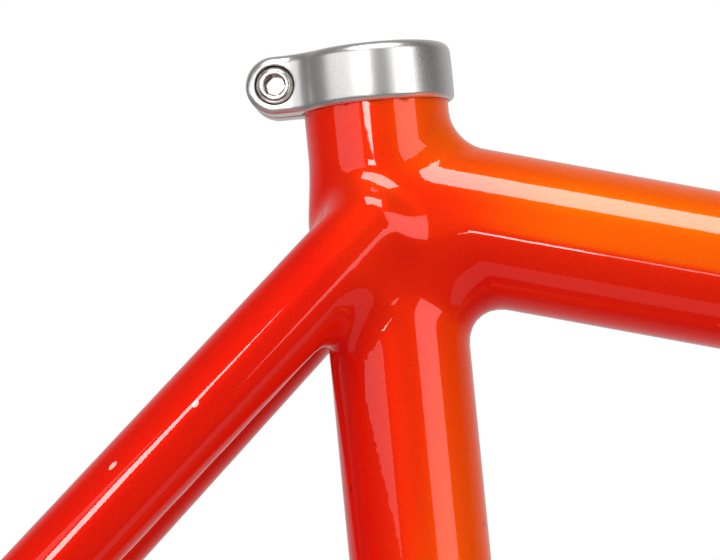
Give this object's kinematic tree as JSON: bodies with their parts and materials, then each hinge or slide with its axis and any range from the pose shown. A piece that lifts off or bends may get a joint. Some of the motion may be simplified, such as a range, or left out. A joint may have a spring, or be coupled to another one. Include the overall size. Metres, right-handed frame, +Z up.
{
  "type": "folding bicycle frame",
  "caption": "Full-size folding bicycle frame: a diamond frame split by two side hinges with screw clamps, with a bolted ring clamp for the seatpost.",
  "frame": {"origin": "centre of the bottom bracket shell", "axes": "+X forward, +Y to the rider's left along the bottom bracket, +Z up"},
  "size_m": [0.8565, 0.1534, 0.5409],
  "materials": {
    "paint_red": "glossy red metallic paint on aluminium tube",
    "paint_fade": "glossy paint fading from red to orange on aluminium tube",
    "paint_orange": "glossy orange metallic paint on aluminium tube",
    "hinge_forging": "satin black anodised forging",
    "clamp_alloy": "satin clear anodised",
    "lever_alloy": "satin black anodised",
    "collar_alloy": "polished cast aluminium",
    "steel": "zinc plated steel",
    "bolt_steel": "polished stainless steel",
    "bronze": "plain bronze"
  },
  "bodies": {
    "rear_frame": {"seat_tube": "paint_fade", "bottle_bosses": "steel", "bottom_bracket_shell": "paint_red", "top_tube_rear": "paint_fade", "down_tube_rear": "paint_fade", "seat_stay_right": "paint_red", "seat_stay_left": "paint_red", "chain_stay_right": "paint_red", "chain_stay_left": "paint_red", "dropout_right": "paint_red", "dropout_left": "paint_red", "derailleur_hanger": "lever_alloy", "hanger_bolts": "steel", "brake_bridge": "paint_red", "chain_stay_bridge": "paint_red", "upper_hinge_plate_rear": "hinge_forging", "lower_hinge_plate_rear": "hinge_forging", "upper_hinge_pin": "steel", "lower_hinge_pin": "steel", "hinge_pin_screws": "steel", "upper_clamp_stud": "steel", "lower_clamp_stud": "steel"},
    "front_frame": {"top_tube_front": "paint_orange", "down_tube_front": "paint_fade", "head_tube": "paint_orange", "upper_hinge_plate_front": "hinge_forging", "lower_hinge_plate_front": "hinge_forging", "upper_hinge_bush": "bronze", "lower_hinge_bush": "bronze"},
    "upper_clamp": {"upper_clamp_plate": "clamp_alloy", "upper_clamp_washer": "steel"},
    "upper_lever": {"upper_clamp_lever": "lever_alloy"},
    "lower_clamp": {"lower_clamp_plate": "clamp_alloy", "lower_clamp_washer": "steel"},
    "lower_lever": {"lower_clamp_lever": "lever_alloy"},
    "seat_clamp": {"seat_clamp_ring": "collar_alloy", "seat_clamp_nut": "steel"},
    "seat_bolt_washer": {"seat_clamp_washer": "bolt_steel"},
    "seat_bolt": {"seat_clamp_bolt": "bolt_steel"}
  },
  "joints": [
    {"name": "frame_fold", "type": "hinge", "parent": "rear_frame", "child": "front_frame", "pos_m": [0.15, 0.032, 0.31799], "axis": [0, 0, 1], "range_deg": [0, 178]},
    {"name": "upper_clamp_slide", "type": "slide", "parent": "rear_frame", "child": "upper_clamp", "axis": [0, 1, 0], "range_m": [0, 0.008]},
    {"name": "upper_lever_turn", "type": "hinge", "parent": "upper_clamp", "child": "upper_lever", "pos_m": [0.14475, -0.05, 0.48039], "axis": [0, 1, 0], "range_deg": [0, 1440]},
    {"name": "lower_clamp_slide", "type": "slide", "parent": "rear_frame", "child": "lower_clamp", "axis": [0, 1, 0], "range_m": [0, 0.008]},
    {"name": "lower_lever_turn", "type": "hinge", "parent": "lower_clamp", "child": "lower_lever", "pos_m": [0.14475, -0.05, 0.15559], "axis": [0, 1, 0], "range_deg": [0, 1440]},
    {"name": "seat_clamp_turn", "type": "hinge", "parent": "rear_frame", "child": "seat_clamp", "pos_m": [-0.14692, 0, 0.50902], "axis": [-0.2773, 0, 0.9608], "continuous": true},
    {"name": "seat_bolt_slide", "type": "slide", "parent": "seat_clamp", "child": "seat_bolt_washer", "axis": [0, -1, 0], "range_m": [0, 0.0024]},
    {"name": "seat_bolt_turn", "type": "hinge", "parent": "seat_bolt_washer", "child": "seat_bolt", "pos_m": [-0.16796, 0, 0.50295], "axis": [0, -1, 0], "range_deg": [0, 1080]}
  ],
  "couplings": [
    {"joint": "upper_clamp_slide", "follows": "upper_lever_turn", "m_per_rad": 0.00031831},
    {"joint": "lower_clamp_slide", "follows": "lower_lever_turn", "m_per_rad": 0.00031831},
    {"joint": "seat_bolt_turn", "follows": "seat_bolt_slide", "rad_per_m": 7854}
  ]
}
